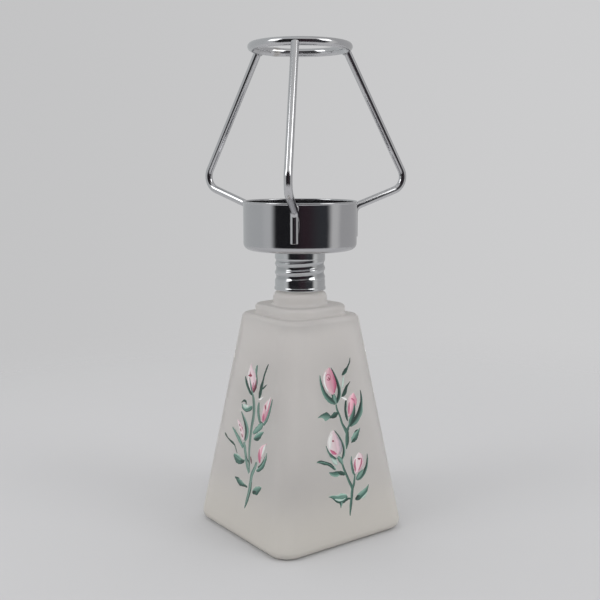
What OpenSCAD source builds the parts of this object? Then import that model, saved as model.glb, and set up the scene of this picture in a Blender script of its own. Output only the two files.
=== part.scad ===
// Tea light holder: a chromed candle cup and a three-armed wire cage, carried on
// the screw cap of a square frosted glass bottle with a stepped shoulder.
// Millimetres, +Z up, origin under the middle of the bottle's foot.

/* [Glass body] */
// Width across the flats, just above the heel
base_w = 57.6; // [50:0.1:70]
// Width across the flats, at the edge of the shoulder
shoulder_w = 35.2; // [32:0.1:44]
// Height of the shoulder's edge above the table
shoulder_z = 78; // [60:0.5:110]
// Radius of the four upright corners, seen from above
corner_r = 8; // [5:0.5:12]
// Radius of the heel, where the sides turn under the foot
heel_r = 3; // [1:0.25:5]
// Radius of the shoulder's edge
shoulder_r = 2; // [1:0.25:4]
// Thickness of the glass in the sides and the shoulder
glass_t = 2.8; // [2:0.1:4]
// Thickness of the glass floor
floor_t = 5; // [3:0.25:8]
// Diameter of the hollow under the foot
punt_d = 40; // [20:1:44]
// Depth of the hollow under the foot
punt_depth = 1.4; // [0.5:0.1:2.5]

/* [Shoulder step and neck] */
// Width of the square step across the flats
step_w = 28; // [24:0.5:31]
// Height of the step above the shoulder
step_h = 3.4; // [2:0.1:6]
// Radius of the step's upright corners
step_corner_r = 8; // [4:0.5:10]
// Radius of the step's upper edge
step_edge_r = 1.2; // [0.5:0.1:2]
// Diameter of the collar under the cap
collar_d = 19.6; // [18:0.2:23]
// Height of the collar
collar_h = 5; // [3:0.25:8]
// Radius of the collar's upper edge
collar_edge_r = 2.6; // [1:0.1:3]
// Diameter of the neck finish that the cap screws on to
finish_d = 16.6; // [15:0.1:19]
// Diameter of the bore through the neck
bore_d = 9.4; // [7:0.1:12]

/* [Screw cap] */
// Height of the cap
cap_h = 14.6; // [12:0.1:20]
// Thickness of the cap's rolled side, thread form included
cap_side_t = 0.7; // [0.4:0.05:1.2]
// Thickness of the cap's top
cap_top_t = 0.5; // [0.3:0.05:1]
// Play between the cap and the neck, on the radius
cap_play = 0.15; // [0.1:0.05:0.4]
// Gap between the collar and the cap's lower edge
cap_gap = 0.3; // [0.1:0.1:1.5]
// Radius of the cap's upper edge
cap_edge_r = 0.9; // [0.4:0.1:1.5]
// How far the beaded lower edge of the cap stands out
cap_bead = 0.2; // [0.1:0.05:0.5]
// Height of the beaded lower edge
cap_bead_h = 1; // [0.5:0.1:2]
// Thickness of the sealing disc inside the cap
liner_t = 1.5; // [1:0.1:2.5]

/* [Candle cup] */
// Diameter of the tea light that the cup is made for
candle_d = 38; // [35:0.5:60]
// Play between the tea light and the cup's wall, on the radius
candle_play = 0.9; // [0.3:0.1:2]
// Thickness of the cup's metal
cup_t = 0.6; // [0.4:0.05:1]
// Height of the cup
cup_h = 17.5; // [12:0.5:30]
// Outer radius of the corner between the cup's wall and its floor
cup_corner_r = 2.4; // [1.5:0.1:4]
// Thickness of the rounded lip around the rim
lip_t = 0.8; // [0.7:0.05:1.2]
// Diameter of the eyelet that joins the cup to the cap
eyelet_d = 3.2; // [2.5:0.1:4]
// Diameter of the eyelet's two rolled heads
eyelet_head_d = 5.6; // [4.5:0.1:7]
// Thickness of each head
eyelet_head_t = 0.5; // [0.3:0.05:0.6]
// Diameter of the hole through the eyelet
eyelet_bore_d = 1.8; // [1:0.1:2]

/* [Wire cage] */
// Diameter of the arms' wire
arm_wire_d = 2.8; // [2:0.1:4]
// Direction of the first arm with the cap screwed tight, counterclockwise from +X
arm_azimuth = 228.6; // [0:0.1:360]
// Height of the arms' square-cut lower ends above the cup's underside
leg_z = 3.8; // [1:0.1:6]
// How far below the rim the legs turn outwards
sill_drop = 2.7; // [1:0.1:6]
// Bend radius at the sill, on the wire's centre line
sill_bend_r = 3.2; // [2.5:0.1:5]
// Distance from the axis at which an arm's two straight runs would meet
knee_reach = 45.2; // [38:0.1:60]
// Height above the rim at which they would meet
knee_rise = 5.3; // [0:0.1:20]
// Bend radius at the knee, on the wire's centre line
knee_bend_r = 5.2; // [4:0.1:9]
// Diameter of the top ring, on the wire's centre line
ring_d = 34; // [28:0.5:50]
// Diameter of the ring's wire
ring_wire_d = 3; // [2:0.1:4]
// Height of the ring's centre line above the rim
ring_rise = 53.6; // [40:0.1:90]
// How far outside the ring's centre line the arms come up to it
arm_out = 1.3; // [0:0.1:2]
// How far below the ring's centre line the arms are cut off
arm_cut = 0.6; // [0:0.1:1.5]

/* [Hidden] */
$fn = 48;
eps = 0.01;
touch = 0.02;                   // gap left at a welded or seated face that is curved
seat_gap = 0.05;                // gap left at the sealing disc's two faces
bend_swell = 0.01;              // extra radius of the wire in a bend
bend_bite = 0.2;                // how far a straight run reaches into a bend
edge_steps = 4;                 // facets across a rounded glass edge
corner_fn = 32;                 // facets around a full upright corner

shoulder_top = shoulder_z + shoulder_r;
step_top = shoulder_top + step_h;
collar_top = step_top + collar_h;
collar_r = collar_d/2;
finish_r = finish_d/2;
shoulder_corner_r = min(corner_r, shoulder_w/2 - 6);
inner_foot_r = max(corner_r - glass_t, 2);
inner_shoulder_r = max(shoulder_corner_r - glass_t, 2);

cap_z = collar_top + cap_gap;
cap_bore_r = finish_r + cap_play;
cap_r = cap_bore_r + cap_side_t;
cap_top = cap_z + cap_h;
liner_r = cap_bore_r - 0.2;
liner_z = cap_top - cap_top_t - seat_gap - liner_t;
finish_top = liner_z - seat_gap;

cup_z = cap_top;
seat_r = candle_d/2 + candle_play;
cup_r = seat_r + cup_t;
rim_z = cup_z + cup_h;
lip_out = lip_t - cup_t;
hole_play = 0.05;

arm_r = arm_wire_d/2;
ring_wire_r = ring_wire_d/2;
ring_r = ring_d/2;
ring_z = rim_z + ring_rise;
leg_axis_r = cup_r + lip_out + touch + arm_r;
arm_spacing = 360/3;            // three arms, evenly spaced
knee_z = rim_z + knee_rise;

// Points where an arm's straight runs meet, as [distance from the axis, height]
arm_path = [[leg_axis_r, cup_z + leg_z],
            [leg_axis_r, rim_z - sill_drop],
            [knee_reach, knee_z],
            [ring_r + arm_out, ring_z]];
arm_bends = [0, sill_bend_r, knee_bend_r, 0];

// One corner of a rounded square block, as a disc with a rounded lower edge
module foot_corner(r, edge) {
    rotate_extrude($fn = corner_fn)
        polygon(concat([[0, edge], [0, 0]],
            [for (i = [0:edge_steps]) let (a = -90 + 90*i/edge_steps)
                [r - edge + edge*cos(a), edge + edge*sin(a)]]));
}

// Places four copies at the corners of a square of this half width
module at_corners(half) {
    for (x = [-1, 1], y = [-1, 1]) translate([x*half, y*half, 0]) children();
}

// A tapering block with rounded corners, a rounded foot and a rounded top edge
module soft_block(z0, w0, r0, edge0, z1, w1, r1, edge1) {
    hull() {
        at_corners(w0/2 - r0) translate([0, 0, z0]) foot_corner(r0, edge0);
        at_corners(w1/2 - r1) translate([0, 0, z1]) mirror([0, 0, 1]) foot_corner(r1, edge1);
    }
}

module neck() {
    rotate_extrude($fn = 96) {
        // collar with a rounded shoulder
        translate([0, step_top - 1]) square([collar_r, collar_h + 1 - collar_edge_r]);
        translate([0, step_top]) square([collar_r - collar_edge_r, collar_h]);
        translate([collar_r - collar_edge_r, collar_top - collar_edge_r]) circle(collar_edge_r);
        // fillet where the collar flows into the step
        translate([collar_r - eps, step_top - eps]) difference() {
            square(1);
            translate([1, 1]) circle(1);
        }
        // finish that carries the thread, with a rounded lip
        translate([0, step_top]) square([finish_r, finish_top - step_top - 0.8]);
        translate([0, step_top]) square([finish_r - 0.8, finish_top - step_top]);
        translate([finish_r - 0.8, finish_top - 0.8]) circle(0.8);
    }
}

module bottle() {
    color([0.80, 0.78, 0.75, 0.6]) difference() {
        union() {
            soft_block(0, base_w, corner_r, heel_r,
                       shoulder_top, shoulder_w, shoulder_corner_r, shoulder_r);
            soft_block(shoulder_top - 1, step_w, step_corner_r, 0.5,
                       step_top, step_w, step_corner_r, step_edge_r);
            neck();
        }
        // room inside: straight walls of even thickness above a thick floor
        soft_block(floor_t, base_w - 2*glass_t, inner_foot_r, inner_foot_r - 0.5,
                   shoulder_top - glass_t, shoulder_w - 2*glass_t, inner_shoulder_r,
                   inner_shoulder_r - 0.5);
        translate([0, 0, shoulder_z - glass_t])
            cylinder(d = bore_d, h = finish_top - shoulder_z + glass_t + 1);
        // shallow dome under the foot, which leaves a ring to stand on
        punt_sphere_r = (pow(punt_d/2, 2) + pow(punt_depth, 2))/(2*punt_depth);
        translate([0, 0, punt_depth - punt_sphere_r]) sphere(punt_sphere_r, $fn = 96);
    }
}

module cap() {
    color([0.78, 0.79, 0.80]) difference() {
        rotate_extrude($fn = 96) {
            translate([0, cap_z]) square([cap_r, cap_h - cap_edge_r]);
            translate([0, cap_z]) square([cap_r - cap_edge_r, cap_h]);
            translate([cap_r - cap_edge_r, cap_top - cap_edge_r]) circle(cap_edge_r);
            translate([0, cap_z]) square([cap_r + cap_bead, cap_bead_h]);
        }
        translate([0, 0, cap_z - 1]) cylinder(r = cap_bore_r, h = cap_h - cap_top_t + 1);
        translate([0, 0, cap_z]) cylinder(d = eyelet_d + 2*hole_play, h = cap_h + 1);
    }
}

module cap_liner() {
    color([0.93, 0.92, 0.88]) difference() {
        translate([0, 0, liner_z]) cylinder(r = liner_r, h = liner_t);
        // dent that clears the eyelet's lower head
        translate([0, 0, liner_z + liner_t - eyelet_head_t - 0.2])
            cylinder(d = eyelet_head_d + 0.6, h = eyelet_head_t + 1);
    }
}

module cup_eyelet() {
    grip = cap_top_t + cup_t;   // metal between the two heads
    color([0.80, 0.80, 0.80]) translate([0, 0, cap_top - cap_top_t]) difference() {
        union() {
            translate([0, 0, -eyelet_head_t]) cylinder(d = eyelet_head_d, h = eyelet_head_t);
            translate([0, 0, -eyelet_head_t])
                cylinder(d = eyelet_d, h = grip + 2*eyelet_head_t);
            translate([0, 0, grip]) cylinder(d = eyelet_head_d, h = eyelet_head_t);
        }
        translate([0, 0, -eyelet_head_t - 1])
            cylinder(d = eyelet_bore_d, h = grip + 2*eyelet_head_t + 2);
    }
}

// Half section of a cup with a rounded corner between wall and floor
module cup_section(r, h, corner) {
    square([r - corner, h]);
    translate([0, corner]) square([r, h - corner]);
    translate([r - corner, corner]) circle(corner);
}

module candle_cup() {
    color([0.82, 0.83, 0.84]) translate([0, 0, cup_z]) difference() {
        rotate_extrude($fn = 96) {
            difference() {
                cup_section(cup_r, cup_h - lip_t/2, cup_corner_r);
                translate([0, cup_t]) cup_section(seat_r, cup_h, cup_corner_r - cup_t);
            }
            // rounded lip, flush with the wall inside
            translate([seat_r + lip_t/2, cup_h - lip_t/2]) circle(lip_t/2);
        }
        translate([0, 0, -1]) cylinder(d = eyelet_d + 2*hole_play, h = cup_t + 2);
    }
}

function along(a, b) = (b - a)/norm(b - a);
function turn_of(a, b, c) = let (u = along(a, b), v = along(b, c))
    atan2(u.x*v.y - u.y*v.x, u*v);
// Length that a bend of radius r takes from each of the two runs at b
function setback(a, b, c, r) = r*tan(abs(turn_of(a, b, c))/2);

// Wire bent through the points in the plane of [distance from the axis, height].
// A bend is a hair thicker than the runs, whose ends lie just inside it.
module bent_wire(p, bend, r) {
    last = len(p) - 1;
    for (i = [0:last - 1]) {
        u = along(p[i], p[i + 1]);
        from = i == 0 ? p[0]
            : p[i] + u*(setback(p[i - 1], p[i], p[i + 1], bend[i]) - bend_bite);
        to = i == last - 1 ? p[last]
            : p[i + 1] - u*(setback(p[i], p[i + 1], p[i + 2], bend[i + 1]) - bend_bite);
        translate([from.x, 0, from.y]) rotate([0, atan2(u.x, u.y), 0])
            cylinder(r = r, h = norm(to - from));
    }
    for (i = [1:last - 1]) {
        u = along(p[i - 1], p[i]);
        turn = turn_of(p[i - 1], p[i], p[i + 1]);
        side = sign(turn);
        // the bend's centre lies square to the run that comes in
        start = p[i] - u*setback(p[i - 1], p[i], p[i + 1], bend[i]);
        centre = start + side*bend[i]*[-u.y, u.x];
        a0 = atan2(start.y - centre.y, start.x - centre.x);
        translate([centre.x, 0, centre.y]) rotate([90, 0, 0])
            rotate([0, 0, side > 0 ? a0 : a0 + turn])
                rotate_extrude(angle = abs(turn)) translate([bend[i], 0]) circle(r + bend_swell);
    }
}

module ring_wire(r) {
    translate([0, 0, ring_z]) rotate_extrude($fn = 96) translate([ring_r, 0]) circle(r, $fn = 48);
}

module arm(index) {
    end = arm_path[3] - along(arm_path[2], arm_path[3])*arm_cut;
    color([0.80, 0.81, 0.82]) rotate([0, 0, arm_azimuth + index*arm_spacing])
        difference() {
            bent_wire([arm_path[0], arm_path[1], arm_path[2], end], arm_bends, arm_r);
            ring_wire(ring_wire_r + touch);
        }
}

module top_ring() {
    color([0.80, 0.81, 0.82]) ring_wire(ring_wire_r);
}

bottle();
cap();
cap_liner();
cup_eyelet();
candle_cup();
arm(0);  // arm_front
arm(1);  // arm_right
arm(2);  // arm_left
top_ring();
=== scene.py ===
import math

import bpy
import numpy as np
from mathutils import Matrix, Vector


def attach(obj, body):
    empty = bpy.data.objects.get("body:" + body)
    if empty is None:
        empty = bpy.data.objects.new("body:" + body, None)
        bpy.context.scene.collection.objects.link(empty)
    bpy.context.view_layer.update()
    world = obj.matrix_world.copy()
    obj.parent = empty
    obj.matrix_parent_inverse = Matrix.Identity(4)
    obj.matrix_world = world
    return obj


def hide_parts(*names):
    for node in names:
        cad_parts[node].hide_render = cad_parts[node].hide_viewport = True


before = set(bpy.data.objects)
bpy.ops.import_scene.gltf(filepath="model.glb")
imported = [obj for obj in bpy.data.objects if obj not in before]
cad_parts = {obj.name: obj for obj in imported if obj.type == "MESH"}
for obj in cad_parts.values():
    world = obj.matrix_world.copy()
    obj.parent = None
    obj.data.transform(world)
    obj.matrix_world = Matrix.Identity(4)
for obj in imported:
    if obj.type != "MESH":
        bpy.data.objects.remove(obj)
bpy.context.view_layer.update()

mm = 0.001
fullTurn = 2*math.pi

# Where the photograph was taken from, in millimetres about the middle of the bottle's foot
view = {
    "azimuth": math.radians(-126.4),   # direction in which the camera stands, from +X
    "distance": 326.3,
    "height": 134.7,
    "pitch": math.radians(8.73),       # how far the camera looks down
    "lens": 54.1,
}


# Shapes

def ease(low, high, x):
    # 0 below low, 1 above high, and a smooth S between
    t = np.clip((np.asarray(x, float) - low)/(high - low), 0, 1)
    return t*t*(3 - 2*t)


def gridQuads(rows, columns, rowsClose=False, columnsClose=True):
    # four-sided faces between neighbouring rows and columns of a grid of points
    r = np.arange(rows if rowsClose else rows - 1)
    c = np.arange(columns if columnsClose else columns - 1)
    r, c = np.meshgrid(r, c, indexing="ij")
    nextR, nextC = (r + 1) % rows, (c + 1) % columns
    quads = np.stack([r*columns + c, r*columns + nextC, nextR*columns + nextC, nextR*columns + c], axis=-1)
    return quads.reshape(-1, 4)


def fanFaces(ring, centre):
    # triangles from a closed ring of points to one point
    return np.stack([ring, np.roll(ring, -1), np.full(len(ring), centre)], axis=-1)


def insideOut(points, quads, triangles):
    # the volume under all faces, as a sum over tetrahedra to the origin, is negative for a shell turned inwards
    a = np.concatenate([quads[:, [0, 1, 2]], quads[:, [0, 2, 3]], triangles])
    p, q, r = points[a[:, 0]], points[a[:, 1]], points[a[:, 2]]
    return np.sum(np.einsum("ij,ij->i", p, np.cross(q, r))) < 0


def makePiece(name, points, quads, triangles, material, body, node=None,
              crease=40, values=None, colours=None):
    # points in millimetres become one smooth mesh that rides on a body and may stand for a CAD node
    triangles = np.asarray(triangles, int).reshape(-1, 3)
    if insideOut(points, quads, triangles):
        quads, triangles = quads[:, ::-1], triangles[:, ::-1]
    loops = np.concatenate([quads.ravel(), triangles.ravel()]).astype(np.int32)
    sizes = np.concatenate([np.full(len(quads), 4), np.full(len(triangles), 3)]).astype(np.int32)
    starts = np.concatenate([[0], np.cumsum(sizes)[:-1]]).astype(np.int32)
    mesh = bpy.data.meshes.new(name)
    mesh.vertices.add(len(points))
    mesh.vertices.foreach_set("co", (np.asarray(points)*mm).astype(np.float32).ravel())
    mesh.loops.add(len(loops))
    mesh.loops.foreach_set("vertex_index", loops)
    mesh.polygons.add(len(sizes))
    mesh.polygons.foreach_set("loop_start", starts)
    mesh.polygons.foreach_set("loop_total", sizes)
    mesh.update(calc_edges=True)
    mesh.validate()
    mesh.polygons.foreach_set("use_smooth", np.ones(len(mesh.polygons), bool))
    if crease:
        mesh.set_sharp_from_angle(angle=math.radians(crease))
    for key, data in (values or {}).items():
        mesh.attributes.new(key, "FLOAT", "POINT").data.foreach_set("value", np.asarray(data, np.float32))
    if colours is not None:
        rgba = np.concatenate([colours, np.ones((len(colours), 1))], axis=1).astype(np.float32)
        mesh.color_attributes.new("paint", "FLOAT_COLOR", "POINT").data.foreach_set("color", rgba.ravel())
    piece = bpy.data.objects.new(name, mesh)
    bpy.context.scene.collection.objects.link(piece)
    mesh.materials.append(material)
    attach(piece, body)
    if node:
        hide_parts(node)
    return piece


def arc(centreR, centreZ, radius, start, end, steps):
    # points of a circle's arc as rows of distance and height, angles in degrees
    a = np.radians(np.linspace(start, end, steps))
    return np.stack([centreR + radius*np.cos(a), centreZ + radius*np.sin(a)], axis=1)


def turned(profile, segments, phase=0.0):
    # a profile of distance and height carried round the axis
    angle = phase + np.arange(segments)*fullTurn/segments
    r, z = profile[:, 0, None], profile[:, 1, None]
    return np.stack([r*np.cos(angle), r*np.sin(angle), z + 0*angle], axis=-1)


def lumps(x, y, seed, octaves=3):
    # smooth unevenness between about -1 and 1: a few sine waves of seeded direction and phase, each half as strong
    chance = np.random.default_rng(seed)
    total, weight = 0.0, 1.0
    for octave in range(octaves):
        for _ in range(3):
            a, p = chance.uniform(0, fullTurn, 2)
            k = 2.0**octave*chance.uniform(0.8, 1.3)
            total = total + weight*np.sin(k*(x*math.cos(a) + y*math.sin(a)) + p)/3
        weight *= 0.5
    return total


# Shader maths

class Signal:
    # a shader socket that takes part in plain arithmetic: each step adds one Math node
    def __init__(self, finish, socket):
        self.finish, self.socket = finish, socket

    def math(self, operation, first, second):
        return self.finish.add("ShaderNodeMath", {"operation": operation}, {0: first, 1: second})

    def __add__(self, other):
        return self.math("ADD", self, other)

    def __sub__(self, other):
        return self.math("SUBTRACT", self, other)

    def __rsub__(self, other):
        return self.math("SUBTRACT", other, self)

    def __mul__(self, other):
        return self.math("MULTIPLY", self, other)

    def __truediv__(self, other):
        return self.math("DIVIDE", self, other)

    __radd__, __rmul__ = __add__, __mul__


class Finish:
    # the nodes of one material, or of the world
    def __init__(self, name, owner=None):
        self.owner = owner or bpy.data.materials.new(name)
        self.owner.use_nodes = True
        self.tree = self.owner.node_tree
        self.tree.nodes.clear()

    def add(self, kind, settings=None, inputs=None, output=0):
        node = self.tree.nodes.new(kind)
        for key, value in (settings or {}).items():
            if key == "stops":
                while len(node.color_ramp.elements) < len(value):
                    node.color_ramp.elements.new(0.5)
                for element, (place, colour) in zip(node.color_ramp.elements, value):
                    element.position, element.color = place, (*colour, 1)
            else:
                setattr(node, key, value)
        for key, value in (inputs or {}).items():
            if isinstance(value, Signal):
                self.tree.links.new(value.socket, node.inputs[key])
            else:
                if isinstance(value, tuple) and len(value) == 3 and node.inputs[key].type == "RGBA":
                    value = (*value, 1)
                node.inputs[key].default_value = value
        return Signal(self, node.outputs[output]) if len(node.outputs) else node

    def place(self):
        return self.add("ShaderNodeTexCoord", output="Object")

    def noise(self, where, scale, detail=2.0, roughness=0.5):
        return self.add("ShaderNodeTexNoise", {}, {"Vector": where, "Scale": scale, "Detail": detail,
            "Roughness": roughness})

    def stretch(self, where, scale):
        return self.add("ShaderNodeVectorMath", {"operation": "MULTIPLY"}, {0: where, 1: scale})

    def step(self, low, high, value):
        # 0 below low and 1 above high, smoothly
        return self.add("ShaderNodeMapRange", {"interpolation_type": "SMOOTHSTEP"},
                        {"Value": value, "From Min": low, "From Max": high})

    def blend(self, share, first, second):
        return self.add("ShaderNodeMix", {"data_type": "RGBA"}, {0: share, 6: first, 7: second}, output=2)

    def bump(self, height, strength, distance):
        return self.add("ShaderNodeBump", {}, {"Height": height, "Strength": strength, "Distance": distance})

    def attribute(self, name, output="Fac"):
        return self.add("ShaderNodeAttribute", {"attribute_name": name}, output=output)

    def near(self, where, spot, reach):
        # 1 at a spot and 0 past its reach
        away = self.add("ShaderNodeVectorMath", {"operation": "DISTANCE"}, {0: where, 1: spot}, output="Value")
        return 1 - self.step(0.2*reach, reach, away)

    def surface(self, shader):
        self.add("ShaderNodeOutputMaterial", {}, {"Surface": shader})
        return self.owner


# Materials

glassLook = {
    "tint": (0.965, 0.945, 0.925),
    "frostRough": 0.50,
    "clearRough": 0.06,
    "bloom": 0.48,                     # share of light that the etched skin scatters
    "footBloom": 0.18,                 # how much more it scatters over the thick foot
    "footLow": 0.006, "footHigh": 0.028,
    "bloomTint": (0.76, 0.735, 0.71),
    "footTint": (0.76, 0.73, 0.675),
}


def frostedGlass():
    f = Finish("frostedGlass")
    where = f.place()
    frost = f.attribute("frost")
    grain = f.noise(where, 5200, 2)
    clouds = f.noise(where, 90, 3)
    rough = frost*(glassLook["frostRough"] - glassLook["clearRough"] + 0.10*(clouds - 0.5)) + glassLook["clearRough"]
    tint = f.blend(clouds, glassLook["tint"], tuple(c*0.985 for c in glassLook["tint"]))
    bump = f.bump(grain*frost, 0.25, 0.00006)
    height = f.add("ShaderNodeSeparateXYZ", {}, {0: where}, output="Z")
    foot = 1 - f.step(glassLook["footLow"], glassLook["footHigh"], height)
    clear = f.add("ShaderNodeBsdfPrincipled", {}, {
        "Base Color": tint, "Roughness": rough, "IOR": 1.5, "Transmission Weight": 1.0, "Normal": bump})
    veil = f.add("ShaderNodeBsdfPrincipled", {}, {
        "Base Color": f.blend(foot, glassLook["bloomTint"], glassLook["footTint"]),
        "Roughness": 0.75, "Specular IOR Level": 0.2, "Normal": bump})
    share = frost*(foot*glassLook["footBloom"] + glassLook["bloom"])
    return f.surface(f.add("ShaderNodeMixShader", {}, {0: share, 1: clear, 2: veil}))


def chrome(name, colour, rough, waveScale, waveDepth, dull=None):
    # plated metal: waves far apart bend the reflections, fine scratches run round, and spots are heat-stained
    f = Finish(name)
    where = f.place()
    wave = f.noise(where, waveScale, 1)
    scratch = f.noise(f.stretch(where, (1.0, 1.0, 14.0)), 420, 3)
    smear = f.noise(where, 60, 3)
    base = f.blend(smear, colour, tuple(c*0.93 for c in colour))
    roughness = rough + 0.05*smear*scratch
    for spot, reach in dull or ():
        stain = f.near(where, spot, reach)
        base = f.blend(stain*0.75, base, (0.36, 0.31, 0.22))
        roughness = roughness + 0.22*stain
    height = wave + 0.02*scratch
    return f.surface(f.add("ShaderNodeBsdfPrincipled", {}, {
        "Base Color": base, "Metallic": 1.0, "Roughness": roughness, "Normal": f.bump(height, 1.0, waveDepth)}))


def rolledAluminium():
    f = Finish("rolledAluminium")
    where = f.place()
    groove = f.attribute("groove")
    drag = f.noise(f.stretch(where, (1.0, 1.0, 10.0)), 260, 3)
    wave = f.noise(where, 380, 2)
    # painted shade: the base colour darkens towards dark grey in the thread valleys, where the grooves fall into
    # shade
    base = f.blend(groove*0.55, (0.66, 0.67, 0.68), (0.40, 0.41, 0.42))
    base = f.blend(drag*0.4, base, (0.54, 0.55, 0.56))
    return f.surface(f.add("ShaderNodeBsdfPrincipled", {}, {
        "Base Color": base, "Metallic": 1.0, "Roughness": 0.06 + 0.10*drag,
        "Normal": f.bump(wave + 0.2*drag, 1.0, 0.00003)}))


def brushedPaint():
    f = Finish("brushedEnamel")
    where = f.place()
    speck = f.noise(where, 1500, 3)
    colour = f.attribute("paint", "Color")
    base = f.blend(speck*0.25, colour, f.add("ShaderNodeHueSaturation", {}, {"Value": 0.72, "Color": colour}))
    return f.surface(f.add("ShaderNodeBsdfPrincipled", {}, {
        "Base Color": base, "Roughness": 0.34 + 0.2*speck, "Coat Weight": 0.15, "Coat Roughness": 0.2,
        "Normal": f.bump(speck, 0.5, 0.00004)}))


def linerFoam():
    f = Finish("linerFoam")
    where = f.place()
    cells = f.add("ShaderNodeTexVoronoi", {}, {"Vector": where, "Scale": 2600.0})
    base = f.blend(cells, (0.80, 0.79, 0.75), (0.70, 0.69, 0.65))
    return f.surface(f.add("ShaderNodeBsdfPrincipled", {}, {
        "Base Color": base, "Roughness": 0.7, "Normal": f.bump(cells, 0.4, 0.00008)}))


buttWeld = {"azimuth": math.radians(86), "spread": math.radians(6), "swell": 0.10}
ringSize = {"radius": 17.0, "wire": 1.5, "height": 174.4}
weldSpot = tuple(mm*v for v in (ringSize["radius"]*math.cos(buttWeld["azimuth"]),
                                ringSize["radius"]*math.sin(buttWeld["azimuth"]), ringSize["height"]))
glassFinish = frostedGlass()
sheetChrome = chrome("sheetChrome", (0.60, 0.60, 0.615), 0.08, 55, 0.00030)
wireChrome = chrome("wireChrome", (0.66, 0.66, 0.675), 0.10, 160, 0.000015)
ringChrome = chrome("ringChrome", (0.66, 0.66, 0.675), 0.10, 160, 0.000015, [(weldSpot, 0.0026)])
weldChrome = chrome("weldChrome", (0.52, 0.52, 0.53), 0.16, 1400, 0.00012)
capMetal = rolledAluminium()
enamel = brushedPaint()
foam = linerFoam()
print("materials ready")


# The bottle: sections are rounded squares, each a square of half width core with its corners and sides
# carried outwards by round, so a section with no core is a circle

bottle = {
    "footCore": 20.8, "footRound": 8.0, "heel": 3.0,
    "shoulderCore": 9.6, "shoulderZ": 78.0, "shoulderEdge": 2.0,
    "stepCore": 6.0, "stepRound": 8.0, "stepTop": 83.4, "stepEdge": 1.2,
    "collar": 9.8, "collarTop": 88.4, "collarEdge": 2.6,
    "finish": 8.3, "lipTop": 101.2, "bore": 4.7,
    "innerRound": 5.2, "innerEdge": 4.7, "innerCeiling": 77.2, "floor": 5.0,
    "puntRadius": 20.0, "puntDepth": 1.4,
}
thread = {"pitch": 3.2, "start": 92.4, "end": 99.5, "glassHeight": 0.42, "phase": 0.62,
          "capDepth": 0.45, "capInner": 0.35}


def threadWave(angle, height):
    # 1 on the crest of a right-hand thread and 0 between: one cosine a pitch, sharpened, that climbs with the angle
    turns = (height - thread["start"])/thread["pitch"] - angle/fullTurn + thread["phase"]
    return (0.5 + 0.5*np.cos(fullTurn*turns))**1.4


def bottleRows():
    # rows of core, round and height from the middle of the foot over the lip to the middle of the inner floor
    b = bottle
    line = lambda first, last, n: np.linspace(first, last, n)
    puntSphere = (b["puntRadius"]**2 + b["puntDepth"]**2)/(2*b["puntDepth"])
    r = np.linspace(0.6, b["puntRadius"], 12)
    punt = np.stack([0*r, r, b["puntDepth"] - puntSphere + np.sqrt(puntSphere**2 - r**2)], axis=1)

    def bend(core, round0, z0, radius, start, end, n):
        a = np.radians(np.linspace(start, end, n))
        return np.stack([np.full(n, core), round0 + radius*np.cos(a), z0 + radius*np.sin(a)], axis=1)

    heelIn = b["footRound"] - b["heel"]
    shoulderTop = b["shoulderZ"] + b["shoulderEdge"]
    collarIn = b["collar"] - b["collarEdge"]
    finishAngle = math.degrees(math.acos((b["finish"] - collarIn)/b["collarEdge"]))
    outer = [
        punt,
        line([0, b["puntRadius"], 0], [b["footCore"], heelIn, 0], 5)[1:],
        bend(b["footCore"], heelIn, b["heel"], b["heel"], -90, 0, 10)[1:],
        line([b["footCore"], b["footRound"], b["heel"]], [b["shoulderCore"], b["footRound"], b["shoulderZ"]],
            34)[1:],
        bend(b["shoulderCore"], b["footRound"] - b["shoulderEdge"], b["shoulderZ"], b["shoulderEdge"], 0, 90,
            8)[1:],
        line([b["shoulderCore"], b["footRound"] - b["shoulderEdge"], shoulderTop], [b["stepCore"],
            b["stepRound"] + 0.5, shoulderTop], 4)[1:],
        [[b["stepCore"], b["stepRound"] + 0.15, shoulderTop + 0.15]],
        line([b["stepCore"], b["stepRound"], shoulderTop + 0.5], [b["stepCore"], b["stepRound"],
            b["stepTop"] - b["stepEdge"]], 3),
        bend(b["stepCore"], b["stepRound"] - b["stepEdge"], b["stepTop"] - b["stepEdge"], b["stepEdge"], 0, 90,
            7)[1:],
        line([b["stepCore"], b["stepRound"] - b["stepEdge"], b["stepTop"]], [0, b["collar"] + 1, b["stepTop"]],
            6)[1:],
        bend(0, b["collar"] + 1, b["stepTop"] + 1, 1, 270, 180, 6)[1:],
        bend(0, collarIn, b["collarTop"] - b["collarEdge"], b["collarEdge"], 0, finishAngle, 10),
        line([0, b["finish"], b["collarTop"] + 0.1], [0, b["finish"], b["lipTop"] - 0.8], 64),
        bend(0, b["finish"] - 0.8, b["lipTop"] - 0.8, 0.8, 0, 90, 6)[1:],
    ]
    inner = [
        bend(0, b["bore"] + 0.5, b["lipTop"] - 0.5, 0.5, 90, 180, 5),
        line([0, b["bore"], b["lipTop"] - 0.6], [0, b["bore"], b["innerCeiling"] + 0.5], 8),
        bend(0, b["bore"] + 0.5, b["innerCeiling"] + 0.5, 0.5, 180, 270, 5)[1:],
        line([0, b["bore"] + 0.5, b["innerCeiling"]], [b["shoulderCore"], 0.5, b["innerCeiling"]], 6)[1:],
        bend(b["shoulderCore"], 0.5, b["innerCeiling"] - b["innerEdge"], b["innerEdge"], 90, 0, 9)[1:],
        line([b["shoulderCore"], b["innerRound"], b["innerCeiling"] - b["innerEdge"]], [b["footCore"],
            b["innerRound"], b["floor"] + b["innerEdge"]], 26)[1:],
        bend(b["footCore"], 0.5, b["floor"] + b["innerEdge"], b["innerEdge"], 0, -90, 10)[1:],
        line([b["footCore"], 0.5, b["floor"]], [0, 0.8, b["floor"]], 12)[1:],
    ]
    outer, inner = np.concatenate(outer), np.concatenate(inner)
    return np.concatenate([outer, inner]), len(outer)


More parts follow.
